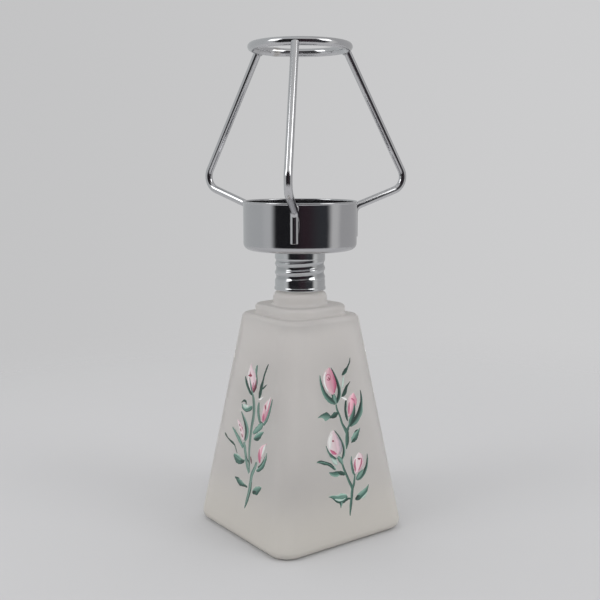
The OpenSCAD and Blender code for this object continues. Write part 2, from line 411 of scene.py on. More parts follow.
def sectionReach(core, roundness, angle):
    # distance from the axis to a rounded square, along a ray at an angle from the nearest side's middle:
    # the flat side's half width over the cosine, or the far crossing with the corner's circle
    side = core + roundness
    flat = side/np.cos(angle)
    onCorner = side*np.tan(angle) > core
    u = core*(np.cos(angle) + np.sin(angle))
    inside = np.maximum(roundness**2 - core**2*(np.cos(angle) - np.sin(angle))**2, 0)
    return np.where(onCorner, u + np.sqrt(inside), flat)


def buildBottle():
    rows, outerCount = bottleRows()
    perEighth = 32
    share = np.arange(perEighth)/perEighth
    eighth = math.pi/4*(1 - (1 - share)**1.6)          # rays gather towards the corners
    quarter = np.concatenate([eighth, math.pi/2 - np.append(eighth, math.pi/4)[:0:-1]])
    angle = np.concatenate([quarter + k*math.pi/2 for k in range(4)])
    folded = np.abs((angle + math.pi/4) % (math.pi/2) - math.pi/4)
    core, roundness, z = rows[:, 0, None], rows[:, 1, None], rows[:, 2, None]
    reach = sectionReach(core, roundness, folded[None, :])
    outside = (np.arange(len(rows)) < outerCount)[:, None]
    onFinish = outside*ease(bottle["collarTop"] + 1.2, bottle["collarTop"] + 3.0, z)*(1 - ease(99.2, 100.4, z))
    reach = reach + onFinish*thread["glassHeight"]*threadWave(angle[None, :], z)
    # hot glass settles unevenly inside: a few tenths of a millimetre
    reach = reach + (~outside)*0.16*lumps(3*np.cos(angle)[None, :], z/11, 5)*ease(0, 8, reach)
    points = np.stack([reach*np.cos(angle), reach*np.sin(angle), z + 0*angle], axis=-1)
    rowCount, columnCount = len(rows), len(angle)
    grid = points.reshape(-1, 3)
    ends = np.array([[0, 0, bottle["puntDepth"]], [0, 0, bottle["floor"]]])
    quads = gridQuads(rowCount, columnCount)
    first = np.arange(columnCount)
    fans = np.concatenate([fanFaces(first[::-1], len(grid)), fanFaces(first + (rowCount - 1)*columnCount,
        len(grid) + 1)])
    frost = np.append(np.repeat(outside[:, 0].astype(float), columnCount), [1.0, 0.0])
    makePiece("bottleGlass", np.concatenate([grid, ends]), quads, fans, glassFinish, "bottle",
              "bottle", crease=None, values={"frost": frost})
    print("bottle", rowCount, "rows of", columnCount)


buildBottle()


# Painted sprays: each stroke is a line of places on a side of the bottle with the brush's half width there,
# in millimetres to the right of the side's middle as seen from outside, above the table, and across

paints = {
    # colours at the stroke's left edge, middle and right edge, seen from its tip
    "stem": ((0.120, 0.240, 0.195), (0.055, 0.140, 0.110), (0.014, 0.050, 0.036)),
    "sageStem": ((0.080, 0.170, 0.140), (0.210, 0.330, 0.280), (0.110, 0.210, 0.175)),
    "dark": ((0.014, 0.034, 0.028), (0.016, 0.056, 0.042), (0.045, 0.125, 0.095)),
    "leaf": ((0.018, 0.066, 0.050), (0.070, 0.180, 0.142), (0.330, 0.520, 0.440)),
    "leafTurned": ((0.330, 0.520, 0.440), (0.070, 0.180, 0.142), (0.018, 0.066, 0.050)),
    "sepal": ((0.200, 0.370, 0.310), (0.022, 0.080, 0.060), (0.016, 0.044, 0.036)),
    "sepalTurned": ((0.016, 0.044, 0.036), (0.024, 0.082, 0.062), (0.230, 0.400, 0.340)),
    "sage": ((0.060, 0.150, 0.120), (0.190, 0.330, 0.275), (0.090, 0.200, 0.165)),
    "mint": ((0.460, 0.620, 0.545), (0.560, 0.690, 0.630), (0.400, 0.560, 0.490)),
    "petal": ((0.800, 0.610, 0.640), (0.690, 0.380, 0.450), (0.560, 0.190, 0.290)),
    "pale": ((0.800, 0.770, 0.765), (0.760, 0.600, 0.630), (0.600, 0.440, 0.490)),
    "rose": ((0.600, 0.230, 0.330), (0.500, 0.120, 0.220), (0.400, 0.080, 0.150)),
    "crimson": ((0.330, 0.060, 0.110), (0.260, 0.025, 0.060), (0.200, 0.020, 0.045)),
    "maroon": ((0.420, 0.110, 0.180), (0.160, 0.035, 0.055), (0.070, 0.025, 0.032)),
    "lilac": ((0.520, 0.480, 0.520), (0.360, 0.330, 0.370), (0.260, 0.250, 0.280)),
    "white": ((0.790, 0.800, 0.780), (0.820, 0.810, 0.795), (0.700, 0.740, 0.710)),
}

rightSpray = [
    ("stem", [(-0.3, 50.2, 0.35), (0.0, 48.1, 0.4), (1.1, 45.4, 0.42), (1.7, 43.0, 0.5), (2.9, 40.8, 0.7), (3.6,
        39.0, 0.85), (3.2, 36.5, 0.85), (2.6, 33.5, 0.12)]),
    ("stem", [(4.9, 42.0, 0.4), (3.9, 40.4, 0.6), (3.4, 38.5, 0.55), (3.2, 37.2, 0.2)]),
    ("stem", [(-0.4, 31.2, 0.3), (0.2, 29.0, 0.4), (0.8, 27.0, 0.45), (2.3, 23.2, 0.6), (3.6, 19.9, 0.5), (3.4,
        18.0, 0.3)]),
    ("stem", [(5.5, 24.6, 0.35), (4.8, 21.5, 0.5), (3.8, 19.4, 0.6), (3.0, 16.2, 0.55), (2.3, 13.4, 0.55), (1.8,
        11.0, 0.35), (1.7, 10.2, 0.08)]),
    ("dark", [(7.8, 65.6, 0.06), (7.4, 63.9, 0.28), (6.3, 62.3, 0.4), (5.3, 61.2, 0.75), (4.2, 60.3, 0.6), (3.4,
        59.8, 0.15)]),
    ("mint", [(4.1, 59.3, 0.2), (3.8, 57.8, 0.45), (3.4, 56.2, 0.45), (3.2, 55.2, 0.1)]),
    ("dark", [(7.0, 57.2, 0.06), (5.9, 56.2, 0.35), (4.9, 55.2, 0.6), (4.1, 53.7, 0.85), (3.2, 52.8, 0.6), (2.4,
        52.4, 0.1)]),
    ("white", [(2.3, 52.2, 0.15), (3.2, 51.8, 0.45), (4.2, 51.2, 0.5), (4.6, 50.8, 0.1)]),
    ("leafTurned", [(-8.9, 46.7, 0.05), (-6.8, 47.0, 0.7), (-4.9, 46.6, 1.5), (-3.6, 46.2, 0.9), (-2.9, 46.1,
        0.2)]),
    ("dark", [(-3.6, 45.9, 0.2), (-2.2, 46.2, 0.8), (-0.9, 46.6, 0.9), (0.4, 47.1, 0.35)]),
    ("leafTurned", [(9.7, 40.2, 0.05), (8.6, 39.0, 0.7), (7.4, 37.8, 1.35), (6.2, 36.6, 1.2), (5.2, 35.7, 0.2)]),
    ("dark", [(8.7, 39.7, 0.05), (7.7, 39.4, 0.3), (6.9, 38.9, 0.15)]),
    ("dark", [(6.9, 36.9, 0.2), (6.0, 36.2, 0.5), (5.1, 35.6, 0.15)]),
    ("leaf", [(-10.9, 31.6, 0.1), (-9.4, 31.4, 0.45), (-7.4, 30.7, 0.7), (-5.6, 29.9, 0.55), (-4.0, 28.6, 0.6),
        (-2.9, 27.5, 0.3)]),
    ("dark", [(-10.8, 31.8, 0.08), (-9.2, 31.8, 0.25), (-7.2, 31.1, 0.2), (-5.0, 30.0, 0.25), (-3.4, 28.4, 0.2)]),
    ("leafTurned", [(-6.0, 27.2, 0.1), (-4.6, 26.4, 0.9), (-3.0, 26.0, 1.2), (-1.4, 26.0, 0.9), (0.2, 25.6,
        0.7), (1.2, 24.9, 0.2)]),
    ("dark", [(-2.0, 26.5, 0.3), (-0.6, 25.9, 0.8), (0.9, 25.1, 0.4)]),
    ("leaf", [(-7.2, 18.9, 0.05), (-5.2, 18.4, 0.7), (-3.0, 17.3, 1.6), (-1.2, 17.0, 2.0), (0.2, 17.2, 1.4),
        (1.2, 17.6, 0.5)]),
    ("leaf", [(-1.3, 17.6, 1.1), (-1.7, 15.8, 0.9), (-2.1, 13.8, 0.05)]),
    ("mint", [(-4.6, 17.6, 0.1), (-2.6, 16.8, 0.5), (-1.0, 16.6, 0.3), (0.4, 17.0, 0.1)]),
    ("dark", [(-0.7, 15.6, 0.15), (0.6, 16.2, 0.45), (1.8, 16.4, 0.4), (2.7, 16.1, 0.2)]),
    ("leafTurned", [(11.5, 19.6, 0.05), (10.2, 18.0, 0.8), (8.6, 16.8, 1.5), (7.0, 16.2, 1.4), (5.6, 15.7, 0.9),
        (4.6, 15.5, 0.2)]),
    ("mint", [(10.4, 17.0, 0.1), (9.2, 15.9, 0.45), (8.0, 15.4, 0.3), (7.2, 15.2, 0.1)]),
    ("dark", [(6.8, 16.4, 0.5), (5.8, 15.9, 0.8), (4.7, 15.5, 0.3)]),
    ("petal", [(-2.0, 63.3, 0.15), (-2.2, 62.0, 1.5), (-2.4, 60.0, 2.55), (-2.3, 57.8, 2.7), (-1.8, 55.8, 2.0),
        (-1.3, 54.2, 0.9), (-1.1, 53.6, 0.15)]),
    ("white", [(-3.6, 62.0, 0.15), (-4.5, 60.3, 0.35), (-4.6, 58.3, 0.4), (-4.0, 56.2, 0.35), (-3.1, 55.0, 0.12)]),
    ("rose", [(-0.7, 60.8, 0.15), (-0.1, 58.4, 0.55), (-0.1, 56.2, 0.7), (-0.8, 54.2, 0.3)]),
    ("rose", [(-3.6, 60.2, 0.12), (-3.1, 60.9, 0.2), (-2.2, 60.7, 0.22), (-1.8, 59.8, 0.22), (-2.2, 59.0, 0.25),
        (-3.0, 59.0, 0.22), (-3.5, 59.6, 0.12)]),
    ("crimson", [(-2.8, 60.0, 0.1), (-2.5, 59.5, 0.28), (-2.2, 59.0, 0.1)]),
    ("sepal", [(-6.3, 61.2, 0.05), (-6.2, 59.0, 0.35), (-5.6, 56.4, 0.65), (-4.4, 53.8, 0.9), (-2.6, 51.8,
        0.95), (-0.6, 50.3, 0.4)]),
    ("sepalTurned", [(-1.2, 63.2, 0.05), (0.1, 60.6, 0.35), (1.2, 57.6, 0.55), (1.7, 54.8, 0.7), (1.2, 52.4,
        0.8), (0.0, 50.4, 0.4)]),
    ("sage", [(-1.2, 53.7, 0.4), (-0.9, 52.4, 1.2), (-0.5, 51.0, 0.7), (-0.2, 50.2, 0.3)]),
    ("dark", [(-2.0, 53.7, 0.12), (-1.2, 53.3, 0.32), (-0.4, 53.7, 0.12)]),
    ("petal", [(8.0, 52.9, 0.2), (7.6, 51.6, 1.5), (7.1, 49.8, 2.1), (6.4, 47.8, 1.7), (5.6, 46.2, 0.9), (4.9,
        44.9, 0.2)]),
    ("rose", [(6.6, 51.2, 0.15), (7.3, 50.7, 0.42), (7.9, 50.1, 0.35), (7.8, 49.2, 0.15)]),
    ("rose", [(5.7, 50.0, 0.15), (5.3, 48.0, 0.42), (5.0, 45.8, 0.25)]),
    ("dark", [(4.6, 51.5, 0.2), (4.0, 49.4, 0.5), (3.7, 47.0, 0.55), (4.0, 44.8, 0.5), (4.3, 43.4, 0.2)]),
    ("sepalTurned", [(11.2, 53.6, 0.05), (11.4, 51.2, 0.35), (11.1, 48.4, 0.7), (10.0, 45.4, 1.1), (7.9, 43.0,
        1.15), (5.2, 41.4, 0.5)]),
    ("sepal", [(7.8, 49.6, 0.05), (7.7, 47.6, 0.5), (7.0, 45.4, 0.9), (5.8, 43.2, 0.9), (4.7, 41.4, 0.4)]),
    ("pale", [(-2.5, 41.4, 0.15), (-2.9, 40.0, 1.5), (-3.0, 38.0, 2.6), (-2.8, 35.6, 3.1), (-2.6, 33.6, 2.4),
        (-2.8, 32.2, 0.8), (-2.9, 31.8, 0.15)]),
    ("white", [(-3.2, 40.2, 0.2), (-4.2, 38.6, 0.8), (-4.6, 36.8, 0.9), (-4.8, 35.2, 0.3)]),
    ("lilac", [(-1.0, 38.9, 0.12), (0.1, 36.4, 0.6), (0.1, 34.2, 0.6), (-0.6, 32.6, 0.2)]),
    ("rose", [(-4.7, 34.9, 0.2), (-3.7, 33.9, 0.7), (-2.7, 33.2, 0.6), (-1.9, 32.9, 0.15)]),
    ("petal", [(-4.1, 38.5, 0.15), (-3.1, 38.2, 0.75), (-2.2, 37.4, 0.2)]),
    ("crimson", [(-3.5, 37.9, 0.12), (-3.1, 37.7, 0.4), (-2.7, 37.5, 0.12)]),
    ("sepalTurned", [(-2.1, 41.3, 0.05), (-0.6, 39.4, 0.22), (0.8, 36.8, 0.38), (1.5, 34.2, 0.5), (1.2, 32.2,
        0.55), (0.2, 30.6, 0.3)]),
    ("sepal", [(-6.3, 36.6, 0.05), (-5.6, 34.6, 0.3), (-4.6, 33.0, 0.5), (-3.2, 31.8, 0.5), (-2.2, 31.2, 0.2)]),
    ("mint", [(-4.3, 32.0, 0.2), (-3.4, 30.8, 0.85), (-2.5, 29.8, 0.7), (-2.1, 29.0, 0.1)]),
    ("sage", [(-1.6, 31.8, 0.4), (-0.6, 30.8, 0.9), (0.0, 29.6, 0.6), (0.3, 28.6, 0.2)]),
    ("pale", [(8.1, 31.6, 0.15), (8.1, 30.6, 1.4), (7.9, 28.8, 2.5), (7.3, 27.0, 2.2), (6.3, 25.4, 1.2), (5.6,
        24.6, 0.2)]),
    ("rose", [(6.2, 29.8, 0.12), (5.8, 28.0, 0.38), (5.8, 26.2, 0.4), (5.8, 25.0, 0.1)]),
    ("rose", [(9.0, 29.6, 0.15), (8.8, 28.0, 0.42), (8.0, 26.4, 0.38), (7.0, 25.2, 0.1)]),
    ("crimson", [(7.2, 29.7, 0.12), (7.9, 29.3, 0.35), (8.6, 29.5, 0.15)]),
    ("sepal", [(4.6, 31.0, 0.05), (4.3, 29.0, 0.3), (4.4, 27.0, 0.42), (4.8, 25.0, 0.45), (5.3, 24.0, 0.2)]),
    ("sepalTurned", [(11.9, 30.6, 0.05), (11.7, 28.4, 0.3), (11.0, 26.0, 0.55), (9.6, 23.9, 0.8), (7.8, 22.6,
        0.7), (6.2, 22.1, 0.2)]),
    ("sage", [(9.6, 25.2, 0.1), (8.6, 24.4, 0.75), (7.4, 23.4, 1.0), (6.2, 22.6, 0.5), (5.8, 22.2, 0.1)]),
]

leftSpray = [
    ("sageStem", [(0.5, 52.6, 0.5), (1.6, 50.6, 0.7), (2.5, 47.6, 0.9), (2.6, 44.2, 0.9), (2.3, 41.0, 0.8),
        (2.2, 37.0, 0.7), (2.6, 32.6, 0.6), (3.4, 28.4, 0.6), (4.2, 25.0, 0.5)]),
    ("sageStem", [(-1.4, 35.0, 0.8), (-0.4, 33.0, 0.9), (0.8, 30.4, 0.8), (2.2, 27.4, 0.7), (4.0, 24.8, 0.5)]),
    ("sageStem", [(8.0, 30.2, 0.6), (7.0, 27.6, 0.8), (5.9, 25.0, 0.8), (5.6, 22.4, 0.9), (5.5, 19.6, 0.9),
        (4.9, 16.6, 0.85), (4.3, 14.2, 0.6), (3.6, 12.0, 0.08)]),
    ("dark", [(6.4, 22.6, 0.1), (6.3, 19.8, 0.28), (5.6, 16.8, 0.3), (4.8, 14.4, 0.25), (3.9, 12.6, 0.08)]),
    ("dark", [(8.1, 64.8, 0.1), (7.3, 63.0, 0.4), (6.5, 61.0, 0.4), (6.0, 58.8, 0.5), (5.5, 56.4, 0.8), (5.1,
        53.8, 0.9), (4.8, 51.8, 0.3)]),
    ("dark", [(8.7, 57.7, 0.05), (7.4, 56.6, 0.3), (6.2, 55.6, 0.4)]),
    ("white", [(4.7, 51.7, 0.15), (5.9, 52.0, 0.35), (7.4, 52.9, 0.1)]),
    ("leaf", [(-5.4, 48.0, 0.2), (-4.8, 46.8, 0.55), (-3.4, 46.3, 0.7), (-1.4, 46.6, 0.9), (0.4, 47.6, 0.9),
        (1.3, 48.4, 0.3)]),
    ("dark", [(-5.9, 48.2, 0.1), (-4.6, 49.2, 0.4), (-3.2, 49.2, 0.45), (-2.6, 48.2, 0.35)]),
    ("mint", [(-4.4, 48.0, 0.15), (-3.4, 47.6, 0.5), (-2.2, 47.4, 0.35), (-1.4, 47.4, 0.1)]),
    ("white", [(-2.3, 48.6, 0.08), (-1.7, 47.7, 0.26), (-0.9, 48.5, 0.1)]),
    ("leafTurned", [(10.0, 41.2, 0.1), (8.6, 40.2, 0.8), (7.0, 38.9, 1.4), (5.6, 38.0, 1.1), (4.4, 37.4, 0.3)]),
    ("dark", [(8.6, 39.0, 0.2), (7.0, 38.0, 0.6), (5.2, 37.4, 0.3)]),
    ("dark", [(-14.5, 35.3, 0.1), (-13.4, 34.5, 0.42), (-12.0, 33.8, 0.22), (-10.0, 33.2, 0.35), (-8.6, 32.9,
        0.45), (-7.0, 32.3, 0.25), (-5.8, 31.0, 0.22), (-4.8, 29.8, 0.15)]),
    ("leaf", [(-7.0, 29.0, 0.4), (-5.4, 28.4, 1.3), (-3.6, 27.9, 1.7), (-1.8, 27.9, 1.3), (-0.3, 28.2, 0.6),
        (0.5, 29.0, 0.1)]),
    ("dark", [(-2.2, 28.0, 0.4), (-1.0, 28.0, 0.85), (0.1, 28.5, 0.35)]),
    ("leaf", [(-4.6, 21.3, 0.05), (-3.0, 21.0, 0.6), (-1.2, 20.4, 1.2), (0.6, 20.2, 0.95), (2.2, 20.1, 0.5),
        (3.4, 20.0, 0.2)]),
    ("dark", [(-4.6, 21.4, 0.05), (-3.2, 21.5, 0.25), (-1.6, 21.6, 0.12)]),
    ("dark", [(1.2, 20.3, 0.15), (2.6, 20.1, 0.45), (4.0, 20.0, 0.25)]),
    ("leafTurned", [(12.5, 22.3, 0.1), (11.4, 21.6, 0.9), (9.9, 20.5, 1.45), (8.5, 19.8, 1.2), (7.4, 19.2, 0.3)]),
    ("dark", [(9.6, 19.9, 0.35), (8.4, 19.4, 0.75), (7.4, 19.1, 0.3)]),
    ("pale", [(-2.5, 63.1, 0.15), (-2.4, 61.4, 0.9), (-1.9, 59.6, 2.2), (-1.2, 57.6, 2.7), (-0.4, 55.6, 2.1),
        (0.3, 53.6, 1.1), (0.6, 52.5, 0.2)]),
    ("maroon", [(1.9, 59.6, 0.12), (2.1, 57.4, 0.45), (1.6, 55.2, 0.8), (0.7, 53.2, 0.4)]),
    ("rose", [(0.4, 56.8, 0.15), (0.3, 55.2, 0.5), (0.5, 53.8, 0.25)]),
    ("crimson", [(-3.3, 58.5, 0.12), (-2.2, 58.8, 0.6), (-0.9, 58.9, 0.2)]),
    ("rose", [(-2.4, 60.3, 0.08), (-2.3, 59.4, 0.3), (-2.2, 58.7, 0.15)]),
    ("sage", [(1.5, 63.2, 0.2), (1.2, 61.4, 0.6), (1.6, 59.6, 0.32), (2.5, 57.6, 0.25), (2.5, 56.0, 0.1)]),
    ("sepal", [(-5.2, 58.0, 0.1), (-4.4, 56.4, 0.5), (-3.0, 54.6, 0.6), (-1.2, 53.0, 0.5), (0.2, 52.2, 0.2)]),
    ("sepalTurned", [(-2.5, 58.2, 0.05), (-1.6, 56.4, 0.3), (-0.6, 54.8, 0.5), (0.3, 53.2, 0.5), (0.8, 52.2, 0.2)]),
    ("petal", [(11.9, 53.8, 0.15), (11.2, 52.4, 0.8), (10.3, 50.6, 1.6), (9.6, 48.4, 2.0), (9.0, 46.4, 1.5),
        (8.6, 44.8, 0.6), (8.5, 44.2, 0.1)]),
    ("white", [(11.9, 53.8, 0.1), (11.1, 52.2, 0.5), (10.6, 50.4, 0.5), (10.4, 48.4, 0.15)]),
    ("rose", [(9.0, 47.6, 0.2), (8.8, 46.0, 0.85), (8.7, 44.8, 0.3)]),
    ("crimson", [(9.0, 50.7, 0.12), (9.4, 49.8, 0.42), (9.8, 49.0, 0.12)]),
    ("sage", [(12.9, 53.4, 0.05), (12.4, 50.6, 0.35), (11.7, 47.8, 0.5), (10.6, 45.2, 0.6), (9.4, 43.4, 0.3)]),
    ("sage", [(5.1, 50.6, 0.3), (5.1, 48.6, 0.6), (5.6, 46.6, 0.7), (6.6, 44.6, 0.55), (7.4, 43.6, 0.2)]),
    ("dark", [(7.4, 44.4, 0.15), (8.4, 43.8, 0.42), (9.4, 44.0, 0.15)]),
    ("sage", [(9.0, 44.0, 0.4), (8.0, 43.0, 1.1), (6.4, 41.6, 1.2), (4.8, 40.2, 0.95), (3.6, 39.2, 0.4)]),
    ("pale", [(-7.3, 41.8, 0.1), (-6.0, 40.8, 0.7), (-4.6, 39.6, 1.15), (-3.2, 38.0, 1.15), (-2.1, 36.2, 0.7),
        (-1.7, 35.4, 0.1)]),
    ("crimson", [(-5.6, 40.5, 0.08), (-5.1, 40.1, 0.25), (-4.7, 39.7, 0.08)]),
    ("crimson", [(-4.6, 39.1, 0.08), (-4.1, 38.6, 0.25), (-3.8, 38.1, 0.08)]),
    ("rose", [(-3.9, 40.0, 0.08), (-3.4, 39.5, 0.22), (-3.1, 39.0, 0.08)]),
    ("crimson", [(-3.4, 37.5, 0.08), (-2.9, 37.0, 0.3), (-2.4, 36.3, 0.1)]),
    ("sepalTurned", [(-5.3, 45.3, 0.05), (-3.6, 43.6, 0.5), (-1.7, 41.6, 1.0), (-0.4, 39.4, 1.15), (-0.3, 37.0,
        0.95), (-0.8, 35.4, 0.4)]),
    ("sage", [(-9.8, 38.4, 0.1), (-7.8, 37.2, 0.5), (-5.8, 35.9, 0.75), (-3.6, 34.4, 0.85), (-1.4, 32.8, 0.5)]),
    ("petal", [(12.5, 37.7, 0.1), (11.4, 36.6, 0.6), (10.2, 35.2, 1.25), (9.5, 33.4, 1.4), (9.4, 31.6, 0.95),
        (9.8, 30.1, 0.2)]),
    ("rose", [(8.8, 35.0, 0.15), (8.8, 33.2, 0.6), (9.3, 31.4, 0.65), (9.8, 30.2, 0.15)]),
    ("white", [(12.3, 37.5, 0.1), (11.4, 35.9, 0.5), (10.8, 34.1, 0.4), (10.6, 32.4, 0.1)]),
    ("leafTurned", [(13.3, 34.9, 0.1), (13.1, 32.8, 0.5), (12.3, 30.6, 0.75), (11.0, 28.8, 0.85), (9.2, 27.5,
        0.65), (8.2, 27.0, 0.2)]),
    ("dark", [(12.6, 33.6, 0.06), (11.6, 31.2, 0.25), (10.4, 29.6, 0.35), (9.0, 28.4, 0.25)]),
    ("dark", [(0.7, 30.6, 0.08), (1.8, 29.6, 0.28), (3.0, 28.8, 0.28), (4.1, 28.0, 0.08)]),
    ("maroon", [(3.9, 31.0, 0.08), (4.4, 29.8, 0.3), (4.9, 28.7, 0.08)]),
]

# which paint went on first: stems and leaves, their shading, petals, the petals' shading, and sepals last
coats = {
    "stem": 0, "sageStem": 0, "leaf": 0, "leafTurned": 0, "dark": 1, "mint": 1,
    "petal": 2, "pale": 2, "white": 3, "rose": 3, "lilac": 3, "maroon": 3,
    "crimson": 4, "sepal": 4, "sepalTurned": 4, "sage": 4,
}
brush = {"along": 30, "across": 9, "thick": 0.04, "bristle": 0.006, "coat": 0.042, "lift": 0.002, "sunk": 0.02}


def smoothLine(points, count):
    # a Catmull-Rom curve through rows of numbers: each span is the cubic of its two ends and their two neighbours
    p = np.concatenate([[2*points[0] - points[1]], points, [2*points[-1] - points[-2]]])
    t = np.linspace(0, len(points) - 1 - 1e-9, count)
    i, f = t.astype(int), (t % 1)[:, None]
    a, b, c, d = p[i], p[i + 1], p[i + 2], p[i + 3]
    return 0.5*(2*b + (c - a)*f + (2*a - 5*b + 4*c - d)*f**2 + (3*b - a - 3*c + d)*f**3)


def sidePoint(across, height, lift, side):
    # a place on one of the four flat sides, lifted along the side's outward normal, turned to that side
    b = bottle
    slope = (b["footCore"] - b["shoulderCore"])/(b["shoulderZ"] - b["heel"])
    tilt = math.atan(slope)
    out = b["footCore"] + b["footRound"] - slope*(height - b["heel"]) + lift*math.cos(tilt)
    x, y, z = across, -out, height + lift*math.sin(tilt)
    c, s = math.cos(side*math.pi/2), math.sin(side*math.pi/2)
    return np.stack([x*c - y*s, x*s + y*c, z], axis=-1)


def paintStroke(paint, line, order, seed, side):
    # a low dome of paint along the line: as high as the brush is wide, thinner at its edges, ridged by the bristles
    chance = np.random.default_rng(seed)
    along, across = brush["along"], brush["across"]
    path = smoothLine(np.array(line, float), along)
    u = np.linspace(0, 1, along)[:, None]
    v = np.linspace(-1, 1, across)[None, :]
    width = np.maximum(path[:, 2:3], 0.03)*(1 + 0.10*lumps(9*u, 0*u, seed, 2))
    heading = np.gradient(path[:, :2], axis=0)
    heading /= np.maximum(np.linalg.norm(heading, axis=1, keepdims=True), 1e-6)
    sideways = np.stack([-heading[:, 1], heading[:, 0]], axis=1)
    fray = 1 + 0.14*np.abs(v)*lumps(26*u, 3*np.sign(v), seed + 1, 2)
    s = path[:, 0:1] + sideways[:, 0:1]*width*v*fray
    z = path[:, 1:2] + sideways[:, 1:2]*width*v*fray
    streak = lumps(7*v + 0.6*lumps(3*u, 0*u, seed + 2, 1), 1.2*u, seed + 3, 3)
    dome = np.sqrt(np.maximum(1 - v**2, 0))*np.minimum(width*0.28, brush["thick"])
    below = coats[paint]*brush["coat"] + order*brush["lift"]
    lift = below + dome*(1 + 0*u) + brush["bristle"]*streak*np.sqrt(np.maximum(1 - v**2, 0))
    lift = np.where(np.abs(v) > 0.999, -brush["sunk"], lift)
    lift[0], lift[-1] = -brush["sunk"], -brush["sunk"]
    top = sidePoint(s, z, lift, side)
    under = sidePoint(s, z, 0*s - brush["sunk"] - 0.006, side)
    left, middle, right = (np.array(c) for c in paints[paint])
    w = np.clip(v + 0.45*streak + 0.25*(u - 0.5), -1, 1)[..., None]
    shade = np.where(w < 0, middle + (left - middle)*(-w), middle + (right - middle)*w)
    shade = shade*(1 + 0.26*streak[..., None])*chance.uniform(0.92, 1.08)
    shade = np.clip(shade + 0*top, 0, 1)
    n = along*across
    quads = gridQuads(along, across, columnsClose=False)
    rim = np.concatenate([np.arange(across), np.arange(1, along)*across + across - 1,
                          (along - 1)*across + np.arange(across - 2, -1, -1), np.arange(along - 2, 0, -1)*across])
    skirt = np.stack([rim, rim + n, np.roll(rim, -1) + n, np.roll(rim, -1)], axis=-1)
    points = np.concatenate([top.reshape(-1, 3), under.reshape(-1, 3)])
    faces = np.concatenate([quads, quads[:, ::-1] + n, skirt])
    if insideOut(points - points.mean(0), faces, np.zeros((0, 3), int)):
        faces = faces[:, ::-1]
    return points, faces, np.tile(shade.reshape(-1, 3), (2, 1))


def paintSpray(name, strokes, side, seed):
    points, faces, colours, count = [], [], [], 0
    for order, (paint, line) in enumerate(strokes):
        p, f, c = paintStroke(paint, line, 1 + order % 6, seed + 11*order, side)
        points.append(p)
        faces.append(f + count)
        colours.append(c)
        count += len(p)
    makePiece(name, np.concatenate(points), np.concatenate(faces), np.zeros((0, 3), int), enamel, "bottle",
              crease=50, colours=np.concatenate(colours))


for name, strokes, side, seed in (("sprayRightSide", rightSpray, 0, 100), ("sprayLeftSide", leftSpray, -1, 1100),
                                  ("sprayBack", rightSpray, 2, 2100), ("sprayFarSide", leftSpray, 1, 3100)):
    paintSpray(name, strokes, side, seed)
print("sprays", len(rightSpray), "and", len(leftSpray), "strokes")


# The screw cap

# the skirt's bore clears the crests on the neck, and the rolled thread reaches in between them
cap = {"bottom": 88.7, "top": 103.3, "radius": 9.15, "bore": 8.85, "bead": 0.2, "beadTop": 89.7,
       "edge": 0.9, "sheet": 0.24, "curl": 0.27, "hole": 1.65, "segments": 288}


def buildCap():
    # outside from the rivet hole over the top edge and down the threaded side to the rolled bead,
    # then the same line one sheet thickness further in and back up to the hole
    c = cap
    skin = np.concatenate([
        np.stack([np.linspace(c["hole"], c["radius"] - c["edge"], 8), np.full(8, c["top"])], axis=1),
        arc(c["radius"] - c["edge"], c["top"] - c["edge"], c["edge"], 90, 0, 8)[1:],
        np.stack([np.full(96, c["radius"]), np.linspace(c["top"] - c["edge"] - 0.1, c["beadTop"] + 0.35, 96)],
            axis=1),
        np.stack([c["radius"] + c["bead"]*ease(0, 1, np.linspace(0, 1, 5)), np.linspace(c["beadTop"] + 0.25,
            c["beadTop"] - 0.1, 5)], axis=1),
        arc(c["radius"] + c["bead"] - c["curl"], c["bottom"] + c["curl"], c["curl"], 0, -150, 8),
    ])
    lining = np.concatenate([
        np.stack([np.full(90, c["bore"]), np.linspace(c["bottom"] + 0.45, c["top"] - 1.0, 90)], axis=1),
        arc(c["bore"] - 0.5, c["top"] - c["sheet"] - 0.5, 0.5, 0, 90, 5),
        np.stack([np.linspace(c["bore"] - 0.7, c["hole"], 6), np.full(6, c["top"] - c["sheet"])], axis=1),
    ])
    profile = np.concatenate([skin, lining])
    points = turned(profile, c["segments"])
    angle = np.arange(c["segments"])*fullTurn/c["segments"]
    z = profile[:, 1, None]
    onSide = ease(thread["start"] - 0.5, thread["start"] + 0.7, z)*(1 - ease(thread["end"] - 0.4,
        thread["end"] + 0.9, z))
    onSide = onSide*(profile[:, 0, None] > c["bore"] - 0.01)
    valley = (1 - threadWave(angle[None, :], z))*onSide
    isSkin = (np.arange(len(profile)) < len(skin))[:, None]
    depth = valley*np.where(isSkin, thread["capDepth"], thread["capInner"])
    depth = depth + 0.02*lumps(4*np.cos(angle)[None, :], z, 31)*onSide
    radius = np.hypot(points[..., 0], points[..., 1])
    points[..., :2] *= ((radius - depth)/radius)[..., None]
    # the valleys on the outer skin are marked for the painted shade in the cap's colour
    groove = (valley*isSkin).ravel()
    quads = gridQuads(len(profile), c["segments"], rowsClose=True)
    makePiece("screwCap", points.reshape(-1, 3), quads, [], capMetal, "head", "cap",
              crease=50, values={"groove": groove})


buildCap()


# The candle cup and its rivet

cup = {"bottom": 103.3, "height": 17.5, "inside": 19.9, "sheet": 0.6, "corner": 2.4, "lip": 0.8, "hole": 1.65,
    "segments": 256}


